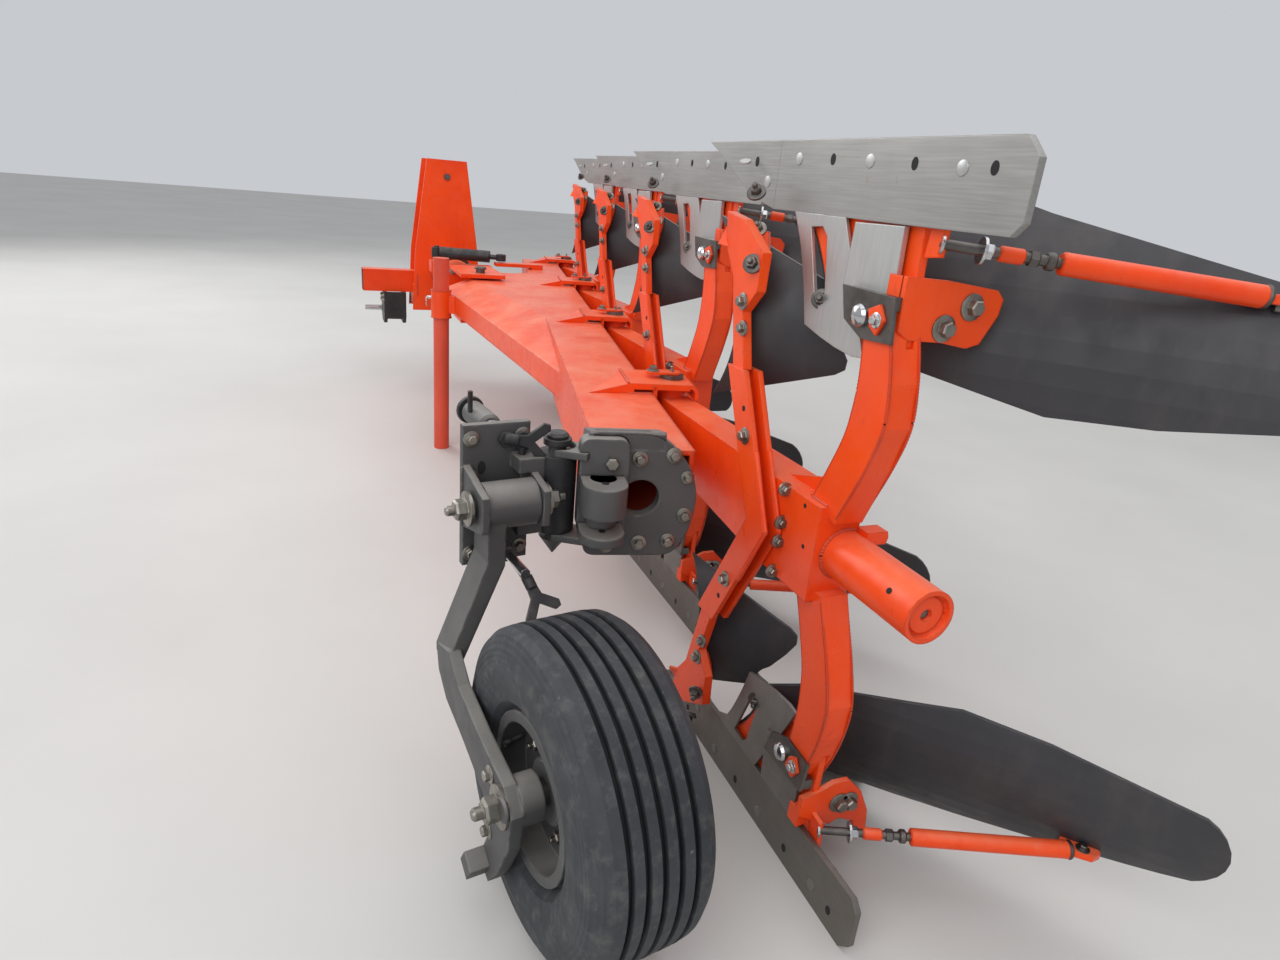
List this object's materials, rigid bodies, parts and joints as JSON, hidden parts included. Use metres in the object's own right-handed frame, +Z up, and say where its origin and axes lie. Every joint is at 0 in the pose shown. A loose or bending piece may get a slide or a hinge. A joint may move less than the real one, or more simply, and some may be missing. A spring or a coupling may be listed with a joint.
{
  "type": "reversible mouldboard plough",
  "caption": "Mounted reversible mouldboard plough with a swinging box beam, hinged leg carriers, paired bodies and skimmers, a rear depth wheel and a headstock",
  "frame": {"origin": "on the floor, at the middle of the plough's outer box seen from above", "axes": "+Y is the direction of travel, towards the headstock; +X is to the right, where the bodies stand; +Z is up"},
  "size_m": [2.0656, 5.4662, 1.57],
  "materials": {
    "orange_paint": "gloss",
    "faded_red_paint": "satin",
    "grey_casting": "satin",
    "black_paint": "satin",
    "black_steel": "satin",
    "worn_steel": "satin",
    "pin_steel": "satin",
    "bright_steel": "gloss",
    "tyre_rubber": "matte"
  },
  "bodies": {
    "headstock": {"headstock_frame": "orange_paint", "tower_plates": "orange_paint", "link_plates": "black_paint", "link_pins": "bright_steel", "turnover_pins": "pin_steel"},
    "turnover": {"swing_frame": "orange_paint", "swing_pin": "pin_steel", "turnover_shaft": "pin_steel", "turnover_crank": "orange_paint", "width_pin": "pin_steel"},
    "beam": {"main_beam": "orange_paint", "hinge_brackets": "orange_paint", "hinge_pins": "pin_steel", "end_plate": "grey_casting", "stand_sleeve": "orange_paint", "width_lug": "orange_paint"},
    "wheel_mount": {"wheel_spool": "black_paint", "wheel_bracket": "grey_casting", "depth_spindles": "bright_steel"},
    "wheel_link": {"wheel_arm": "grey_casting", "wheel_axle": "pin_steel"},
    "wheel": {"wheel_rim": "grey_casting", "wheel_tyre": "tyre_rubber"},
    "stand": {"stand_leg": "faded_red_paint"},
    "turn_barrel": {"turnover_barrel": "orange_paint"},
    "turn_rod": {"turnover_rod": "bright_steel"},
    "wide_barrel": {"width_barrel": "black_paint"},
    "wide_rod": {"width_rod": "black_paint"},
    "station_1": {"carrier_1": "orange_paint", "frogs_1": "black_steel", "mouldboards_1": "black_steel", "shares_1": "worn_steel", "landsides_1": "worn_steel", "skimmer_arms_1": "orange_paint", "skimmers_1": "black_steel"},
    "station_2": {"carrier_2": "orange_paint", "frogs_2": "black_steel", "mouldboards_2": "black_steel", "shares_2": "worn_steel", "landsides_2": "worn_steel", "skimmer_arms_2": "orange_paint", "skimmers_2": "black_steel"},
    "station_3": {"carrier_3": "orange_paint", "frogs_3": "black_steel", "mouldboards_3": "black_steel", "shares_3": "worn_steel", "landsides_3": "worn_steel", "skimmer_arms_3": "orange_paint", "skimmers_3": "black_steel"},
    "station_4": {"carrier_4": "orange_paint", "frogs_4": "black_steel", "mouldboards_4": "black_steel", "shares_4": "worn_steel", "landsides_4": "worn_steel", "skimmer_arms_4": "orange_paint", "skimmers_4": "black_steel", "rear_tube": "orange_paint"}
  },
  "joints": [
    {"name": "turnover", "type": "hinge", "parent": "headstock", "child": "turnover", "pos_m": [-0.38675, 2.26314, 0.785], "axis": [0, -1, 0], "range_deg": [0, 180]},
    {"name": "swing", "type": "hinge", "parent": "turnover", "child": "beam", "pos_m": [-0.38675, 1.14114, 0.785], "axis": [0, 0, -1], "range_deg": [0, 14.7]},
    {"name": "station_1_turn", "type": "hinge", "parent": "beam", "child": "station_1", "pos_m": [0.40325, 2.14942, 0.785], "axis": [0, 0, -1], "range_deg": [-14.7, 0]},
    {"name": "station_2_turn", "type": "hinge", "parent": "beam", "child": "station_2", "pos_m": [0.18325, 1.02066, 0.785], "axis": [0, 0, -1], "range_deg": [-14.7, 0]},
    {"name": "station_3_turn", "type": "hinge", "parent": "beam", "child": "station_3", "pos_m": [-0.03675, -0.1081, 0.785], "axis": [0, 0, -1], "range_deg": [-14.7, 0]},
    {"name": "station_4_turn", "type": "hinge", "parent": "beam", "child": "station_4", "pos_m": [-0.25675, -1.23686, 0.785], "axis": [0, 0, -1], "range_deg": [-14.7, 0]},
    {"name": "wheel_swivel", "type": "hinge", "parent": "beam", "child": "wheel_mount", "pos_m": [-0.75775, -1.75486, 0.785], "axis": [0, 0, -1], "range_deg": [-14.7, 0]},
    {"name": "wheel_raise", "type": "hinge", "parent": "wheel_mount", "child": "wheel_link", "pos_m": [-0.88166, -1.81678, 0.785], "axis": [-0.988, -0.1547, 0], "range_deg": [0, 100]},
    {"name": "wheel_spin", "type": "hinge", "parent": "wheel_link", "child": "wheel", "pos_m": [-0.80852, -2.18692, 0.331], "axis": [-0.988, -0.1547, 0], "continuous": true},
    {"name": "stand_lift", "type": "slide", "parent": "beam", "child": "stand", "axis": [0, 0, 1], "range_m": [0, 0.4]},
    {"name": "turn_barrel_swing", "type": "hinge", "parent": "headstock", "child": "turn_barrel", "pos_m": [-0.38675, 2.48314, 1.385], "axis": [0, 1, 0], "range_deg": [0, 28.07]},
    {"name": "turn_rod_stroke", "type": "slide", "parent": "turn_barrel", "child": "turn_rod", "axis": [-0.2425, 0, 0.9701], "range_m": [0, 0.16847]},
    {"name": "wide_barrel_swing", "type": "hinge", "parent": "turnover", "child": "wide_barrel", "pos_m": [-0.52475, 1.86114, 0.945], "axis": [0, 0, -1], "range_deg": [0, 2.31]},
    {"name": "wide_rod_stroke", "type": "slide", "parent": "wide_barrel", "child": "wide_rod", "axis": [0.9298, -0.368, 0], "range_m": [0, 0.15716]}
  ],
  "couplings": [
    {"joint": "station_1_turn", "follows": "swing", "ratio": -1},
    {"joint": "station_2_turn", "follows": "swing", "ratio": -1},
    {"joint": "station_3_turn", "follows": "swing", "ratio": -1},
    {"joint": "station_4_turn", "follows": "swing", "ratio": -1},
    {"joint": "wheel_swivel", "follows": "swing", "ratio": -1},
    {"joint": "wide_barrel_swing", "follows": "swing", "ratio": 0.15701},
    {"joint": "wide_rod_stroke", "follows": "swing", "m_per_rad": 0.61256},
    {"joint": "turn_barrel_swing", "follows": "turnover", "ratio": 0.15596}
  ]
}
